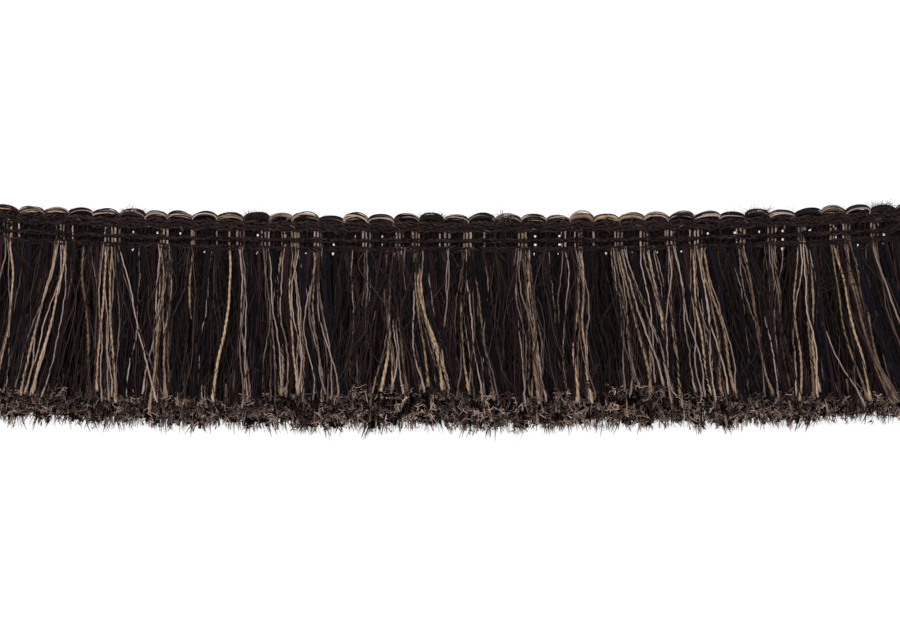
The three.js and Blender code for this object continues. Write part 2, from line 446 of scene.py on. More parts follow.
def skirtCore():
    rng = np.random.default_rng(core["seed"])
    rows = []
    for count, level, shorter in zip(core["across"], core["levels"], core["shorter"]):
        across = (np.arange(count) + 0.5) / count
        row = (gaps[:-1, None] + 2 * halves[:, None] * across).ravel()
        rows.append(np.stack([row, level + rng.normal(0, 0.02, len(row)), np.full(len(row), shorter)]))
    x, level, shorter = np.concatenate(rows, axis=1)
    yarns = yarnsAt(x, np.clip(level, 0.02, 0.86), valley=0.25, together=0.0)
    yarns["reach"] += rng.normal(0, 0.4, len(x)) - shorter
    yarns["lean"] += rng.normal(0, 0.1, len(x))
    paths = hang(rng, yarns, core["steps"], core["radius"], wander=0.08)
    radii = core["radius"] * np.append(np.ones(core["steps"] - 1), 0.7)
    return [batchOf(paths, radii, 4, rng.uniform(0, 1, len(x)))]


brown = {
    "bundled": 1260, "between": 600, "back": 1600, "radius": 0.105, "backRadius": 0.17,
    "calmPast": 98.0, "groupWidth": 1.7, "seed": 9,
}


def skirtBrown():
    rng = np.random.default_rng(brown["seed"])
    # how many, how high they lie, their bundle's shape, how far they stray and wander, and steps
    groups = (
        (brown["bundled"], 0.80, 1.08, {"gather": 0.42, "spread": 1.15, "valley": 0.5}, 1.8, 1.1, 13),
        (brown["between"], 0.60, 1.0, {"spread": 1.0, "valley": 0.35}, 3.8, 2.4, 16),
    )
    batches = []
    for count, low, high, shape, stray, wander, steps in groups:
        yarns = yarnsAt(evenly(rng, count), rng.uniform(low, high, count), **shape)
        calmer = np.where(np.abs(yarns["x"]) > brown["calmPast"], 0.4, 1)  # near both ends
        yarns["lean"] += calmer * rng.normal(0, stray, count)
        yarns["reach"] += rng.normal(0, 1.0, count)
        wanders = calmer * wander * rng.uniform(0.5, 1.6, count)
        paths = hang(rng, yarns, steps, brown["radius"], wanders, kinks=0.05)
        radii = brown["radius"] * rng.uniform(0.5, 1.5, (count, 1))
        batches.append(batchOf(paths, radii, 3, rng.uniform(0, 1, count) ** 3.2))
    # the lowest yarns show only at their ends, which stand out in small slanted groups
    count = brown["back"]
    x = evenly(rng, count)
    yarns = yarnsAt(x, rng.uniform(0, 0.95, count) ** 2, together=0.0)
    group = np.round(x / brown["groupWidth"] + 0.4 * yarns["level"])
    yarns["lean"] += 0.8 * uneven(group) + rng.normal(0, 0.4, count)
    yarns["reach"] += 0.8 * uneven(group + 0.5) + rng.normal(0.6, 0.6, count)
    paths = hang(rng, yarns, 5, brown["backRadius"], wander=0.2, begin=0.8)
    slant = 1.3 * uneven(group + 0.3) + rng.normal(-0.2, 0.3, count)
    paths[:, -2:, 0] += slant[:, None] * (0.2, 1.0)
    paths[:, :2, 2] += (1.1, 0.4)  # they start inside the brush
    radii = brown["backRadius"] * rng.uniform(0.6, 1.2, (count, 1)) * np.array((1, 1, 1, 0.85, 0.3))
    batches.append(batchOf(paths, radii, 3, 0.15 + 0.85 * rng.uniform(0, 1, count) ** 1.6))
    return batches


wisps = {"count": 760, "radius": 0.05, "length": (1.5, 6.0), "seed": 47}


def skirtWisps():
    # loose hairs of the brown yarn, bent over the face
    rng = np.random.default_rng(wisps["seed"])
    count = wisps["count"]
    yarns = yarnsAt(evenly(rng, count, 4), rng.uniform(0.9, 1.06, count))
    along = hang(rng, yarns, 21, wisps["radius"])
    picked = rng.integers(0, 19, count)
    start = along[np.arange(count), picked]
    run = along[np.arange(count), picked + 1] - start
    run /= np.linalg.norm(run, axis=1, keepdims=True)
    heading = run + rng.normal(0, 1, (count, 3)) * (0.45, 0.2, 0.04)
    length = rng.uniform(*wisps["length"], count)
    paths = fibrePaths(rng, start, heading, length, 7, 0.28)
    rise = thickAt(np.maximum(headingFoot(paths[:, :, 0]) - paths[:, :, 1], 0))
    paths[:, :, 2] = np.clip(paths[:, :, 2], 0.85 * rise, 1.04 * rise)
    tone = 0.2 + 0.8 * rng.uniform(0, 1, count) ** 1.5
    return [batchOf(paths, wisps["radius"] * np.linspace(1.3, 0.7, 7), 3, tone)]


# the light yarns that show on the face, in bundles from the left: where a bundle leaves the
# heading, how far it leans, half its fan at the ends, how many tan and rose yarns it has, and
# how far down they come up to the face and go under again
faceColumns = ("x", "lean", "fan", "tan", "rose", "from", "shows")
faceRows = (
    (-101.8, -3.6, 1.6, 1, 3, -9, 40),
    (-89.5, -6.4, 2.8, 2, 5, -9, 40),
    (-78.3, -0.2, 3.2, 2, 6, -9, 40),
    (-76.2, 10.5, 0.8, 0, 2, -9, 40),
    (-65.4, -0.6, 3.8, 3, 4, -9, 40),
    (-58.4, 2.2, 0.3, 1, 0, -9, 12),
    (-50.0, -3.6, 0.2, 1, 0, -9, 40),
    (-47.5, 1.0, 1.4, 0, 4, -9, 40),
    (-41.7, 0.6, 2.4, 0, 4, -9, 30),
    (-37.4, -1.2, 0.8, 1, 1, -9, 40),
    (-34.7, 0.2, 0.9, 2, 3, -9, 40),
    (-34.3, 6.5, 0.4, 0, 1, -9, 40),
    (-29.5, 0.6, 4.2, 0, 6, 8, 40),
    (-18.1, -0.8, 0.6, 0, 3, -9, 9),
    (-10.4, -1.5, 5.5, 3, 4, 19, 40),
    (-6.6, 4.4, 3.2, 3, 4, 6, 40),
    (0.8, 1.0, 0.5, 0, 2, -9, 14),
    (5.3, 3.0, 4.6, 2, 6, 10, 40),
    (18.3, 3.4, 2.8, 2, 6, -9, 40),
    (27.7, 0.6, 0.6, 0, 2, -9, 11),
    (31.3, 1.8, 2.2, 2, 3, -9, 40),
    (40.6, 5.6, 6.4, 1, 8, -9, 40),
    (46.6, 5.6, 2.4, 2, 3, -9, 16),
    (52.9, 4.5, 4.0, 1, 4, -9, 40),
    (59.2, 6.6, 3.6, 3, 6, -9, 40),
    (69.0, 5.9, 1.6, 1, 3, -9, 40),
    (76.3, 4.0, 1.2, 1, 3, -9, 12),
    (83.3, 2.6, 2.8, 3, 2, -9, 40),
    (83.9, 15.0, 0.4, 0, 1, -9, 40),
    (90.3, 8.8, 1.4, 2, 0, -9, 40),
    (93.7, 11.0, 1.2, 2, 2, -9, 40),
    (100.3, 9.0, 1.8, 1, 2, -9, 40),
)
faceBundles = [dict(zip(faceColumns, row)) for row in faceRows]
rootPitch = 0.42  # between neighbouring light yarns where they leave the heading


def bundleYarns(bundle):
    # the order of tan and rose across a bundle, from -1 to 1
    count = bundle["tan"] + bundle["rose"]
    tanPlaces = {round((k + 0.5) * count / bundle["tan"] - 0.5) for k in range(bundle["tan"])}
    return [("tan" if k in tanPlaces else "rose", 2 * (k + 0.5) / count - 1) for k in range(count)]


ribbons = {
    "navy": 5, "navyRadius": 0.21, "plum": 3, "plumRadius": 0.17, "steps": 15, "extra": 14,
    "seed": 5,
}


def ribbonYarns(kind):
    rng = np.random.default_rng(ribbons["seed"] + (kind == "plum"))
    count, radius = ribbons[kind], ribbons[kind + "Radius"]
    rows = []
    for number, bundle in enumerate(faceBundles):
        total = bundle["tan"] + bundle["rose"]
        if total < 3 or bundle["shows"] < 20:
            continue
        half = rootPitch * total / 2
        # navy lies to the right of the light yarns, plum by turns beyond it or on the left
        outside = (0.3, 0.5)
        if kind == "plum":
            outside = (1.5, 2.4) if number % 2 else (-2 * half - 1, -2 * bundle["fan"] - 1.4)
        for k in range(count):
            root = bundle["x"] + half + outside[0] + 1.2 * radius * k
            tip = bundle["x"] + bundle["lean"] + bundle["fan"] + outside[1] + 1.9 * radius * k
            rows.append((root, tip - root, rng.uniform(0.93, 1.02)))
    for x in evenly(rng, ribbons["extra"], 4):
        lean, level = rng.normal(0, 1.2), rng.uniform(0.9, 0.97)
        rows += [(x + 1.2 * radius * k, leanAt(x) + lean + 0.6 * radius * k, level) for k in range(count)]
    x, lean, level = np.array(rows).T
    yarns = yarnsAt(x, level)
    yarns["lean"] = lean
    yarns["reach"] += rng.normal(-0.5, 0.7, len(x))
    paths = hang(rng, yarns, ribbons["steps"], radius, wander=0.16)
    radii = radius * rng.uniform(0.75, 1.2, (len(x), 1))
    return [batchOf(paths, radii, 6, rng.uniform(0, 1, len(x)))]


light = {
    "tan": {"radius": 0.32, "steps": 64, "sides": 8, "pitch": 3.0, "lobes": 0.2, "flare": 1.4,
            "hidden": 8, "ends": 110, "under": 26, "wander": 0.55, "kinks": 0.0, "seed": 11},
    "rose": {"radius": 0.17, "steps": 34, "sides": 5, "pitch": 0, "lobes": 0, "flare": 1.6,
             "hidden": 30, "ends": 150, "under": 60, "wander": 0.75, "kinks": 0.06, "seed": 13},
}


def lightYarns(kind):
    sizes = light[kind]
    rng = np.random.default_rng(sizes["seed"])
    rows = []
    for bundle in faceBundles:
        order = bundleYarns(bundle)
        for dye, place in order:
            if dye != kind:
                continue
            aside = place * rootPitch * len(order) / 2
            lean = bundle["lean"] + place * bundle["fan"] - aside + rng.normal(0, 0.35)
            level = rng.uniform(1.0, 1.05)
            rows.append((bundle["x"] + aside, lean, level, bundle["from"], bundle["shows"]))
    for x in evenly(rng, sizes["hidden"], 4):
        rows.append((x, leanAt(x) + rng.normal(0, 1.8), rng.uniform(0.84, 0.93), -9, 40))
    x, lean, level, begins, shows = np.array(rows).T
    yarns = yarnsAt(x, level)
    yarns["lean"] = lean
    yarns["reach"] += rng.normal(-0.2, 0.9, len(x))
    paths = hang(rng, yarns, sizes["steps"], sizes["radius"], sizes["wander"], sizes["kinks"])
    down = headingFoot(paths[:, :, 0]) - paths[:, :, 1]
    shows = shows + rng.normal(0, 1.5, len(x))
    begins = begins + rng.normal(0, 1.5, len(x))
    paths[:, :, 2] -= 1.6 * np.clip((down - shows[:, None]) / 5, 0, 1)
    paths[:, :, 2] -= 1.2 * np.clip((begins[:, None] - down) / 5, 0, 1) * np.clip(down / 3, 0, 1)
    radii = sizes["radius"] * rng.uniform(0.8, 1.15, (len(x), 1)) * endShape(sizes["steps"], sizes["flare"])
    twist = {"pitch": sizes["pitch"], "lobes": sizes["lobes"]}
    whole = batchOf(paths, radii, sizes["sides"], rng.uniform(0, 1, len(x)), **twist)
    # of the light yarns inside the brush only the cut ends show
    count = sizes["ends"]
    inner = yarnsAt(evenly(rng, count, 3), rng.uniform(0.1, 0.85, count), together=0.4)
    inner["lean"] += rng.normal(0, 1.0, count)
    inner["reach"] += rng.normal(-0.2, 0.5, count)
    paths = hang(rng, inner, 5, sizes["radius"], sizes["wander"], begin=0.88)
    radii = sizes["radius"] * rng.uniform(0.7, 1.1, (count, 1)) * np.array((0.9, 0.95, 1, 1.1, 1))
    ends = batchOf(paths, radii, 6, rng.uniform(0, 0.8, count))
    # and some lie on the underside
    count = sizes["under"]
    lowest = yarnsAt(evenly(rng, count, 4), np.zeros(count))
    lowest["reach"] += rng.normal(-0.8, 0.6, count)
    paths = hang(rng, lowest, 10, sizes["radius"], 0.5)
    paths[:, :, 2] = np.minimum(paths[:, :, 2], 1.3 * sizes["radius"])
    return [whole, ends, batchOf(paths, sizes["radius"], 5, rng.uniform(0.2, 0.9, count))]


def cutPlaces(rng, count, shorter):
    level = rng.uniform(0, 1, count)
    yarns = yarnsAt(evenly(rng, count), level, together=0.3)
    yarns["lean"] += rng.normal(0, 0.6, count)
    yarns["reach"] += rng.normal(-shorter, 0.6, count) - 0.8 * np.clip(1 - 3 * level, 0, 1)
    return hang(rng, yarns, 6, 0.2)[:, -1], level


# each cut yarn opens into a tuft of short fibres
tufts = {
    "brown": {"count": 2350, "fibres": 5, "radius": 0.085, "length": (0.35, 1.2), "seed": 17},
    "light": {"count": 480, "fibres": 5, "radius": 0.06, "length": (0.3, 1.1), "seed": 18},
}
# the tufts are lighter in some stretches than in others, and alike in narrow groups
patchPlaces = np.arange(-112, 119, 9.0)
groupWidths = {"lightness": 2.9, "slant": 1.9}


def cutEnds(kind):
    sizes = tufts[kind]
    rng = np.random.default_rng(sizes["seed"])
    ends, level = cutPlaces(rng, sizes["count"], 0.2)
    cluster = np.round(ends[:, 0] / groupWidths["lightness"]) + 17 * np.round(3 * level)
    patch = np.interp(ends[:, 0], patchPlaces, 0.35 * uneven(patchPlaces))
    share = 1 + 0.75 * uneven(cluster) + patch
    lights = rng.uniform(0, 1, sizes["count"]) ** 2.0 * (1.08 - 0.4 * level) * share
    slant = 0.7 * uneven(np.round(ends[:, 0] / groupWidths["slant"]))
    perTuft = (ends, level, lights, slant)
    start, level, lights, slant = (np.repeat(part, sizes["fibres"], axis=0) for part in perTuft)
    count = len(start)
    start = start + rng.normal(0, 1, (count, 3)) * (0.2, 0.25, 0.15) + (0, 0.3, 0.15)
    # the lowest tufts point down and lie straighter, as they make the skirt's outline
    wild = np.clip(3 * level - 0.2, 0.25, 1)
    sideways = slant + 0.8 * wild * rng.normal(0, 1, count)
    onward = wild * rng.uniform(-0.9, 0.4, count) - (1 - wild)
    upward = wild * rng.normal(0, 0.5, count) + 0.5 * level
    heading = np.stack([sideways, onward, upward], axis=1)
    heading /= np.linalg.norm(heading, axis=1, keepdims=True)
    shortest, longest = sizes["length"]
    length = shortest + (longest - shortest) * rng.uniform(0, 1, count) ** 2
    paths = fibrePaths(rng, start, heading, length, 3, 0.8 * wild - 0.1)
    radii = sizes["radius"] * rng.uniform(0.6, 1.5, (count, 1)) * np.array((1.1, 1.1, 0.7))
    return [batchOf(paths, radii, 3, np.clip(lights + rng.uniform(-0.06, 0.08, count), 0, 1))]


strays = {
    # how many there are, how thick they are and how long at most
    "ends": (320, 0.055, 2.2), "haze": (1000, 0.032, 1.5),
    "across": 60, "radius": 0.055, "seed": 19,
}
# threads that cross the face: from, to and how many
crossings = [
    ((87.6, -12.6), (95.7, -9.0), 4), ((86.9, -14.0), (96.5, -11.6), 2), ((96.8, -3.8), (106.4, 2.6), 8),
    ((73.8, 4.1), (78.7, -1.3), 1), ((13.7, 5.2), (14.6, -3.0), 2), ((-11.4, -2.5), (-7.2, -12.5), 3),
]


def strayFibres():
    rng = np.random.default_rng(strays["seed"])
    batches = []
    for count, radius, longest in (strays["ends"], strays["haze"]):
        start, _ = cutPlaces(rng, count, 0.4)
        slant = 0.6 * uneven(np.round(start[:, 0] / 1.7)) + rng.normal(0, 0.4, count)
        heading = np.stack([slant, rng.uniform(-1.2, -0.5, count), rng.normal(0, 0.1, count)], axis=1)
        ends = fibrePaths(rng, start, heading, rng.uniform(0.7, longest, count), 4, 0.35)
        batches.append(batchOf(ends, radius * np.linspace(1.5, 0.5, 4), 3, rng.uniform(0.2, 0.9, count)))
    count = strays["across"]
    yarns = yarnsAt(evenly(rng, count, 14), np.full(count, 1.06))
    yarns["lean"] += rng.normal(0, 7, count)
    yarns["reach"] -= rng.uniform(2, 14, count)
    over = hang(rng, yarns, 14, strays["radius"], wander=1.0)
    batches.append(batchOf(over, strays["radius"] * 0.9, 3, rng.uniform(0, 0.3, count)))
    share = np.linspace(0, 1, 12)[:, None]
    threads = []
    for begin, end, count in crossings:
        for _ in range(count):
            route = np.array(begin) + rng.normal(0, 0.5, 2) + (np.array(end) - begin) * share
            route[:, 1] += rng.normal(0, 0.5) * np.sin(pi * share[:, 0])
            down = headingFoot(route[:, 0]) - route[:, 1]
            rise = np.where(down > 0, thickAt(np.maximum(down, 0)), 2.9) + 0.25
            threads.append(np.column_stack([route, rise]))
    tone = rng.uniform(0.2, 0.7, len(threads))
    batches.append(batchOf(np.array(threads), 1.5 * strays["radius"], 3, tone))
    return batches


crimp = {
    "threads": 7, "width": 2.6, "radius": 0.2, "wave": 0.26, "pitch": 0.72, "seed": 43,
    "routes": (((-13.6, -9.6), (-22.2, -28.8)), ((35.9, -30.6), (33.6, -36.0))),
}


def crimpedThreads():
    # yarns that keep the waves of an unpicked weave, side by side
    rng = np.random.default_rng(crimp["seed"])
    batches = []
    for begin, end in crimp["routes"]:
        begin, end = np.array(begin), np.array(end)
        length = np.linalg.norm(end - begin)
        along = np.linspace(0, length, int(6 * length / crimp["pitch"]))
        run = (end - begin) / length
        paths = []
        for place in np.linspace(-0.5, 0.5, crimp["threads"]):
            width = crimp["width"] * (0.6 + 0.4 * along / length)
            route = begin + along[:, None] * run + (place * width)[:, None] * np.array([-run[1], run[0]])
            wave = crimp["wave"] * np.sin(2 * pi * along / crimp["pitch"] + rng.normal(0, 0.15))
            rise = thickAt(headingFoot(route[:, 0]) - route[:, 1]) + 0.05 - 1.6 * place**2 + wave
            paths.append(np.column_stack([route, rise]))
        batches.append(batchOf(np.array(paths), crimp["radius"], 3, rng.uniform(0.0, 0.35, len(paths))))
    return batches


skirtPieces = {
    "skirtCore": (skirtCore, "coreShadeYarn"),
    "skirtBrown": (skirtBrown, "brownYarn"),
    "skirtWisps": (skirtWisps, "brownYarn"),
    "skirtNavy": (ribbonYarns, "navyYarn", "navy"),
    "skirtPlum": (ribbonYarns, "plumYarn", "plum"),
    "skirtRose": (lightYarns, "roseYarn", "rose"),
    "skirtTan": (lightYarns, "tanYarn", "tan"),
    "crimpedThreads": (crimpedThreads, "brownYarn"),
    "cutEnds": (cutEnds, "cutFibre", "brown"),
    "cutLights": (cutEnds, "cutLight", "light"),
    "strayFibres": (strayFibres, "brownYarn"),
}
for name, (maker, finish, *kind) in skirtPieces.items():
    piece = yarnPiece(name, maker(*kind), finishes[finish])
    if name == "skirtCore":
        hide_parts("skirt")
print("skirt made")

# heading: a thin woven ground with warp cords, weft yarns and edge loops on it
ground = {
    "columns": 10, "rows": 14, "upperEdge": 2.0, "intoLoop": 0.95, "face": 1.75, "thick": 0.9,
    "holeReach": 0.27, "upper": 5.1, "lower": 7.3,  # how far down the two rows of pinholes are
}


def groundCloth():
    bm = bmesh.new()
    columns, width = trim["repeats"] * ground["columns"], trim["headingWidth"] - ground["upperEdge"]
    bmesh.ops.create_grid(bm, x_segments=columns, y_segments=ground["rows"], size=0.5)
    holes = []
    for face in bm.faces:
        middle = face.calc_center_median()
        n = (middle.x + 0.5) * trim["repeats"]
        down = ground["upperEdge"] + (0.5 - middle.y) * width
        besideGap = 0 < n - round(n) < 1 / ground["columns"]
        for place, numbers in ((ground["upper"], openUpper), (ground["lower"], openLower)):
            if besideGap and abs(down - place) < ground["holeReach"] and round(n) in numbers:
                holes.append(face)
    bmesh.ops.delete(bm, geom=holes, context="FACES")
    for vert in bm.verts:
        n = (vert.co.x + 0.5) * trim["repeats"]
        x = np.interp(n, gapNumbers, gaps)
        down = ground["upperEdge"] + (0.5 - vert.co.y) * width
        if vert.co.y > 0.49:
            down -= ground["intoLoop"] * abs(math.cos(pi * n)) ** 0.7
        row = 0.1 * math.cos(2 * pi * down / 1.1)
        vert.co = (x * mm, (headingTop(x) - down) * mm, (ground["face"] + row) * mm)
    bmesh.ops.recalc_face_normals(bm, faces=bm.faces)
    if sum(face.normal.z for face in bm.faces) < 0:
        bmesh.ops.reverse_faces(bm, faces=bm.faces)
    bmesh.ops.solidify(bm, geom=bm.faces[:], thickness=ground["thick"] * mm)
    bmesh.ops.recalc_face_normals(bm, faces=bm.faces)
    mesh = bpy.data.meshes.new("headingCloth")
    bm.to_mesh(mesh)
    bm.free()
    mesh.shade_smooth()
    return mesh


def weaveFinish():
    finish, nodes, link = newFinish("wovenGround")
    shader = nodes["Principled BSDF"]
    place = nodes.new("ShaderNodeTexCoord")
    threads = nodes.new("ShaderNodeTexWave")
    threads.bands_direction = "Y"
    setInputs(threads, {"Scale": 300, "Distortion": 2.5, "Detail": 3, "Detail Scale": 3})
    cloud = nodes.new("ShaderNodeTexNoise")
    setInputs(cloud, {"Scale": 900, "Detail": 4})
    for texture in (threads, cloud):
        link(place.outputs["Object"], texture.inputs["Vector"])
    colour = nodes.new("ShaderNodeMix")
    colour.data_type = "RGBA"
    setInputs(colour, {"A": (0.004, 0.003, 0.0028, 1), "B": (0.02, 0.013, 0.012, 1)})
    link(cloud.outputs["Fac"], colour.inputs["Factor"])
    bump = nodes.new("ShaderNodeBump")
    setInputs(bump, {"Distance": 0.2 * mm})
    link(threads.outputs["Fac"], bump.inputs["Height"])
    link(bump.outputs["Normal"], shader.inputs["Normal"])
    link(colour.outputs["Result"], shader.inputs["Base Color"])
    setInputs(shader, {"Roughness": 0.95, "Specular IOR Level": 0.08})
    return finish


def belowLoops(x, down):
    # the band's upper rows dip where two loops meet
    fromNotch = np.abs(np.asarray(x)[..., None] - middles).min(axis=-1)
    return down + 0.45 * np.clip(1 - fromNotch / 1.6, 0, 1) * np.clip((3.1 - down) / 1.2, 0, 1)


def onHeading(x, down, rise):
    return np.stack(np.broadcast_arrays(x, headingTop(x) - down, rise), axis=-1)


def alongAngle(angle, lift):
    return np.stack(np.broadcast_arrays(np.cos(angle), np.sin(angle), lift), axis=-1)


warps = {
    # how far down each cord is
    "front": (2.1, 2.6, 3.1, 3.6, 4.05, 6.05, 6.5, 7.95, 8.35, 8.75),
    "back": (2.8, 4.0, 6.2, 7.9, 8.6),
    "rise": {"front": 2.35, "back": 0.5},
    "radius": 0.33, "step": 0.7, "waves": (0.31, 0.83, 2.1, 3.9), "seed": 23,
}


def warpCords():
    rng = np.random.default_rng(warps["seed"])
    x = np.arange(-trimLength / 2, trimLength / 2 + 0.01, warps["step"])
    batches = []
    for side, height in warps["rise"].items():
        rows = []
        for k, down in enumerate(warps[side]):
            wobble = sum(
                rng.uniform(0.05, 0.14) * np.sin(x * speed + rng.uniform(0, 6.3))
                for speed in warps["waves"]
            )
            lift = 0.26 * np.sin(2 * pi * x / trim["repeat"] + pi * k + rng.uniform(-0.4, 0.4))
            rise = height + (lift if side == "front" else -np.abs(lift) * 0.3)
            rows.append(np.stack([x, headingTop(x) - belowLoops(x, down) + wobble, rise], axis=1))
        paths = np.array(rows)
        radii = warps["radius"] * np.clip(1 + 0.33 * rng.standard_normal(paths.shape[:2]), 0.5, 1.6)
        # the cords of the upper band are lighter than those between the windows
        tone = rng.uniform(0.05, 0.35, len(rows)) + 0.22 * (np.array(warps[side]) < 5)
        batches.append(batchOf(paths, radii, 5, tone))
    return batches


# a loop is a flat arch of yarns: its outer ones spring furthest, its inner ones lie over the cloth
# the loop yarns' colour is raised a little: painted light on the raised loops
loops = {
    "radius": 0.16, "paintedLightAndShade": 1.2, "crest": 0.1, "foot": 2.2, "across": 1.3, "overlap": 0.12,
    "rise": 1.15, "crown": 1.15, "steps": 15, "legs": 1.6, "coreRadius": 0.5, "seed": 29,
}
# the loops from the left: L light, D dark, T between the two, R rose and F fuzzy
loopRow = "DTLLDTFTLDLFLLDLTTFTDRLRLLLRTRTFTDRTFD"
# the yarns of each from its outer side to its inner side: brown, navy, plum, rose and tan
loopKinds = {
    "L": "brnrbttrnttb", "T": "nbrnbrbtrbnb", "D": "nnbnpbrnbpnb", "F": "bbpbbrbbbbbb",
    "R": "rbrnbrtrnrpb",
}


def loopYarns():
    # each loop springs from the middle of one bundle to the middle of the next, over a gap
    rng = np.random.default_rng(loops["seed"])
    found = {}
    for n, kind in enumerate(loopRow):
        left = middles[n - 1] if n else 2 * gaps[0] - middles[0]
        right = middles[n] if n < trim["repeats"] else 2 * gaps[-1] - middles[-1]
        turnEnds = (-0.06 if n < trim["repeats"] else 0.5, 1.06 if n else 0.5)
        turn = np.linspace(*turnEnds, loops["steps"]) * pi
        middle, half = (left + right) / 2, (right - left) / 2
        arc = np.sign(np.sin(turn)) * np.abs(np.sin(turn)) ** 0.85
        height = loops["foot"] - loops["crest"] + 0.38 * uneven(n + 20)
        skew = 0.5 * uneven(n + 61)
        pattern = loopKinds[kind]
        for k, dye in enumerate(pattern + "b"):
            inCore = k == len(pattern)
            share = 0.5 if inCore else (k + rng.normal(0, 0.7)) / (len(pattern) - 1)
            share = np.clip(share + 0.13 * np.sin(1.3 * turn + rng.uniform(0, 6.3)), -0.06, 1)
            shift, lift = (0, 0) if inCore else (rng.normal(skew, 0.26), rng.normal(0, 0.12))
            x = middle + (half + loops["overlap"] - 0.35 * share) * np.cos(turn) + shift * np.sin(turn)
            down = loops["foot"] - (height + lift - loops["across"] * share) * arc
            rise = loops["rise"] + loops["crown"] * np.sin(0.62 * pi * share) - 0.3 * np.cos(turn) ** 4
            rise = rise + rng.normal(0, 0.18)
            arch = onHeading(x, down, rise - 0.95 * inCore)
            below, beyond = (0, -loops["legs"] / 2, 0), (0.15, 0, 0)
            first = arch[0] + (beyond if turnEnds[0] == 0.5 else below)
            last = arch[-1] - (beyond if turnEnds[1] == 0.5 else np.negative(below))
            arch = np.vstack([first, arch, last])
            found.setdefault("core" if inCore else dye, []).append(arch)
    return {dye: np.array(paths) for dye, paths in found.items()}


# the weft yarns' colour is lowered a little: painted shade where they lie deep in the windows
wefts = {
    "perBundle": 5, "shown": 3, "radius": 0.23, "paintedLightAndShade": 0.9, "rise": 2.05, "behind": 0.6,
    "pitch": 0.8, "others": "bbbpbbrbbnbb", "seed": 31,
    # how far down the points of a yarn are, and how it bends up and down there
    "down": (3.7, 4.4, 5.1, 5.8, 6.6, 7.3, 8.0, 9.3),
    "bends": (0, 0.15, 0.2, 0.1, -0.1, 0.15, -0.1, 0.0),
}


def weftYarns():
    rng = np.random.default_rng(wefts["seed"])
    places = {"t": [], "r": [], "n": [], "p": [], "b": []}
    taken = []
    for bundle in faceBundles:
        order = bundleYarns(bundle)[:wefts["shown"]]
        for k, (dye, _) in enumerate(order):
            x = bundle["x"] + (k - (len(order) - 1) / 2) * wefts["pitch"] + rng.normal(0, 0.08)
            places[dye[0]].append(x)
            taken.append(x)
    for n in range(trim["repeats"]):
        for k in range(wefts["perBundle"]):
            x = gaps[n] + 0.7 + (2 * halves[n] - 1.4) * k / (wefts["perBundle"] - 1) + rng.normal(0, 0.15)
            if min(abs(x - other) for other in taken) > 0.42:
                dye = wefts["others"][rng.integers(len(wefts["others"]))]
                places[dye].append(x)
    down = np.array(wefts["down"])
    rise = wefts["rise"] + np.array(wefts["bends"])
    found = {}
    for dye, xs in places.items():
        xs = np.array(xs)[:, None] + rng.normal(0, 0.04, (len(xs), len(down)))
        front = onHeading(xs, down, rise)
        back = front[::2 if dye == "b" else 1] * (1, 1, 0) + (0.3, 0, wefts["behind"])
        found[dye] = np.concatenate([front, back])
    return found


binders = {
    "count": 860, "covers": 12, "rows": (6.1, 6.5, 8.0, 8.5), "radius": 0.17, "seed": 37,
}


def binderThreads():
    # the rough thread that wraps the cords and the sides of the windows, in short bent pieces
    rng = np.random.default_rng(binders["seed"])
    count = binders["count"]
    x = evenly(rng, count, 1.5)
    inBand = rng.uniform(0, 1, count) < 0.6
    down = np.where(inBand, rng.uniform(1.6, 4.2, count), rng.choice(binders["rows"], count))
    angle = rng.normal(0, 0.8, count) * np.where(inBand, 1, 0.4)
    # the rest stand on both sides of the windows
    sides = np.tile((1, -1), binders["covers"] // 2)
    beside = gaps[1:-1, None] + rng.uniform(0.4, 1.35, (len(gaps) - 2, len(sides))) * sides
    x = np.append(x, beside)
    down = np.append(down, rng.uniform(4.5, 7.6, beside.size))
    angle = np.append(angle, pi / 2 + rng.normal(0, 0.7, beside.size))
    count = len(x)
    start = onHeading(x, belowLoops(x, down), rng.uniform(2.3, 2.65, count))
    heading = alongAngle(angle, 0.0)
    length = rng.uniform(0.7, 1.9, count) * np.where(angle > 1, 0.7, 1)
    start -= heading * length[:, None] / 2
    paths = fibrePaths(rng, start, heading, length, 6, 0.35)
    hump = np.sin(np.linspace(0, pi, 6))
    paths[:, :, 2] = start[:, None, 2] - 0.1 + 0.25 * hump
    tone = rng.uniform(0, 1, count) ** 1.4 * np.where(np.arange(count) < binders["count"], 1.2, 0.2)
    return [batchOf(paths, binders["radius"] * (0.5 + 0.6 * hump), 4, tone)]


flecks = {"rose": 16, "plum": 34, "radius": 0.15, "seed": 53}


def fleckThreads(dye):
    # coloured yarns that show for a moment between the cords
    rng = np.random.default_rng(flecks["seed"] + ord(dye[0]))
    count = flecks[dye]
    x = evenly(rng, count, 3)
    start = onHeading(x, rng.uniform(2.0, 4.1, count), 2.55)
    heading = alongAngle(rng.normal(0, 0.35, count), 0.0)
    paths = fibrePaths(rng, start, heading, rng.uniform(0.7, 1.8, count), 7, 0.3)
    hump = np.sin(np.linspace(0, pi, 7))
    paths[:, :, 2] = start[:, None, 2] + 0.2 * hump
    return batchOf(paths, flecks["radius"] * (0.5 + 0.6 * hump), 5, rng.uniform(0, 0.25, count))


lint = {"middle": 13.6, "spread": 1.1, "count": 70, "radius": 0.04, "seed": 59}


def headingLint():
    # a pale tuft of lint caught on the loops
    rng = np.random.default_rng(lint["seed"])
    count = lint["count"]
    x = lint["middle"] + lint["spread"] * rng.normal(0, 1, count)
    start = onHeading(x, rng.uniform(0.1, 1.5, count), rng.uniform(2.2, 2.6, count))
    heading = rng.normal(0, 1, (count, 3)) * (1, 0.6, 0.15)
    paths = fibrePaths(rng, start, heading, rng.uniform(0.4, 1.0, count), 5, 0.6)
    return [batchOf(paths, lint["radius"], 3, rng.uniform(0, 0.7, count))]


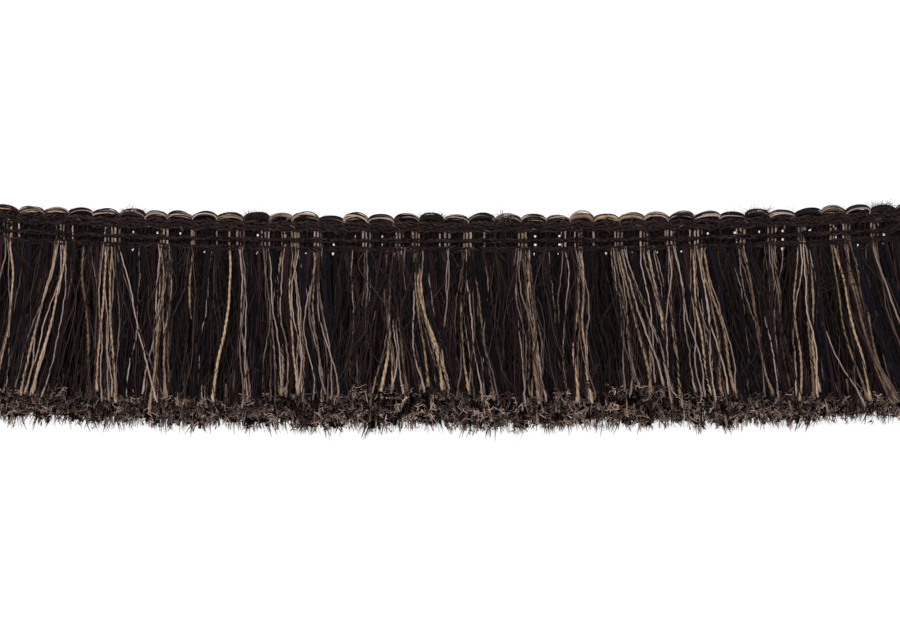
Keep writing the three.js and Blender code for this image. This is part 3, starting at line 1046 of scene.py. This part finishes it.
fuzz = {
    "count": 1700, "rows": (1.9, 2.5, 3.1, 3.7, 4.1, 6.3, 8.2, 8.7), "radius": 0.05,
    "edge": 260, "tufted": 230, "edgeRadius": 0.03, "seed": 41,
}


def headingFuzz():
    rng = np.random.default_rng(fuzz["seed"])
    count = fuzz["count"]
    x = evenly(rng, count)
    down = rng.choice(fuzz["rows"], count) + rng.normal(0, 0.25, count)
    start = onHeading(x, down, rng.uniform(2.3, 2.75, count))
    heading = alongAngle(rng.uniform(0, 2 * pi, count), rng.uniform(0, 0.3, count))
    short = fibrePaths(rng, start, heading, rng.uniform(0.4, 1.2, count), 4, 0.8)
    short[:, :, 2] = np.clip(short[:, :, 2], 2.2, 3.2)
    tone = rng.uniform(0, 1, count) ** 1.3
    batches = [batchOf(short, fuzz["radius"] * np.linspace(1.3, 0.7, 4), 3, tone)]
    # a thin haze over the loops, thick on the fuzzy ones
    fuzzyLoops = [gap for gap, kind in zip(gaps, loopRow) if kind == "F"]
    tufted = [gap + 2.4 * rng.uniform(-1, 1, fuzz["tufted"]) for gap in fuzzyLoops]
    x = np.clip(np.concatenate([evenly(rng, fuzz["edge"]), *tufted]), gaps[0], gaps[-1])
    count = len(x)
    start = onHeading(x, rng.uniform(0.5, 1.6, count), rng.uniform(1.2, 2.4, count))
    sideways, onward = rng.normal(0, 0.9, count), rng.uniform(0.2, 1, count)
    heading = np.stack([sideways, onward, rng.normal(0, 0.2, count)], axis=1)
    long = fibrePaths(rng, start, heading, rng.uniform(0.4, 1.4, count), 4, 0.6)
    batches.append(batchOf(long, fuzz["edgeRadius"], 3, rng.uniform(0.2, 0.9, count)))
    return batches


headingCloth = addPiece("headingCloth", groundCloth(), weaveFinish())
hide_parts("heading")
headingPieces = [
    yarnPiece("warpCords", warpCords(), finishes["warpCord"]),
    yarnPiece("binderThreads", binderThreads(), finishes["warpCord"]),
    yarnPiece("headingFuzz", headingFuzz(), finishes["brownYarn"]),
    yarnPiece("headingLint", headingLint(), finishes["cutLight"]),
]
loopPaths, weftPaths = loopYarns(), weftYarns()
weftTones = {
    "tan": (0.05, 1.0), "rose": (0.05, 1.0), "navy": (0, 0.45), "plum": (0, 0.45), "brown": (0, 0.25),
}
thinToThick = (0.7, 1.35)
for dye, tones in weftTones.items():
    batches = []
    for paths, sizes in ((loopPaths[dye[0]], loops), (weftPaths[dye[0]], wefts)):
        rng = np.random.default_rng(len(paths))
        # the same yarns are lighter on the loops and darker in the windows: painted light and shade
        tone = sizes["paintedLightAndShade"] * rng.uniform(*tones, len(paths))
        radii = sizes["radius"] * rng.uniform(*thinToThick, (len(paths), 1))
        batches.append(batchOf(paths, radii, 5, tone))
    if dye in flecks:
        batches.append(fleckThreads(dye))
    if dye == "brown":
        cores = loopPaths["core"]
        batches.append(batchOf(cores, loops["coreRadius"], 6, np.zeros(len(cores))))
    headingPieces.append(yarnPiece(dye + "Wefts", batches, finishes[dye + "Yarn"]))
# the band is 9 mm wide, under the 10 mm that a sheet's flat size starts at, so its area is given too
print("heading made")

# floor, light and camera
studio = {
    "photoWidth": 210.0,  # millimetres that the picture is wide
    "middle": (1.3, -18.12),
    "height": 2000.0,
    "floorColour": (0.5, 0.5, 0.5, 1),
    "floorGlow": 0.75,
    "keyPower": 7.5,
    "keyPlace": (-0.3, 0.5, 1.1),  # in metres
    "keyWidth": 0.7,  # in metres
    "world": 0.42,
}


def makeFloor():
    # a wide floor just under the trim
    bm = bmesh.new()
    bmesh.ops.create_grid(bm, x_segments=1, y_segments=1, size=2.0)
    bmesh.ops.translate(bm, vec=(0, 0, -0.2 * mm), verts=bm.verts)
    mesh = bpy.data.meshes.new("floor")
    bm.to_mesh(mesh)
    bm.free()
    floor = addObject("floor", mesh)
    finish, nodes, _ = newFinish("paleFloor")
    setInputs(nodes["Principled BSDF"], {
        "Base Color": studio["floorColour"], "Roughness": 0.9,
        "Emission Color": (1, 1, 1, 1), "Emission Strength": studio["floorGlow"],
    })
    mesh.materials.append(finish)


def makeLight():
    lamp = bpy.data.lights.new("keyLight", "AREA")
    lamp.shape = "SQUARE"
    lamp.size = studio["keyWidth"]
    lamp.energy = studio["keyPower"]
    holder = addObject("keyLight", lamp)
    holder.location = studio["keyPlace"]
    holder.rotation_euler = (-holder.location).to_track_quat("-Z", "Y").to_euler()


def makeCamera():
    lens = bpy.data.cameras.new("camera")
    lens.sensor_width = 36
    lens.lens = 36 * studio["height"] / studio["photoWidth"]
    camera = addObject("camera", lens)
    x, y = studio["middle"]
    camera.location = (x * mm, y * mm, studio["height"] * mm)
    bpy.context.scene.camera = camera


makeFloor()
makeLight()
world = bpy.data.worlds.new("studio")
world.use_nodes = True
setInputs(world.node_tree.nodes["Background"], {"Strength": studio["world"], "Color": (1, 1, 1, 1)})
bpy.context.scene.world = world
bpy.context.scene.view_settings.view_transform = "Standard"
makeCamera()
print("studio made")
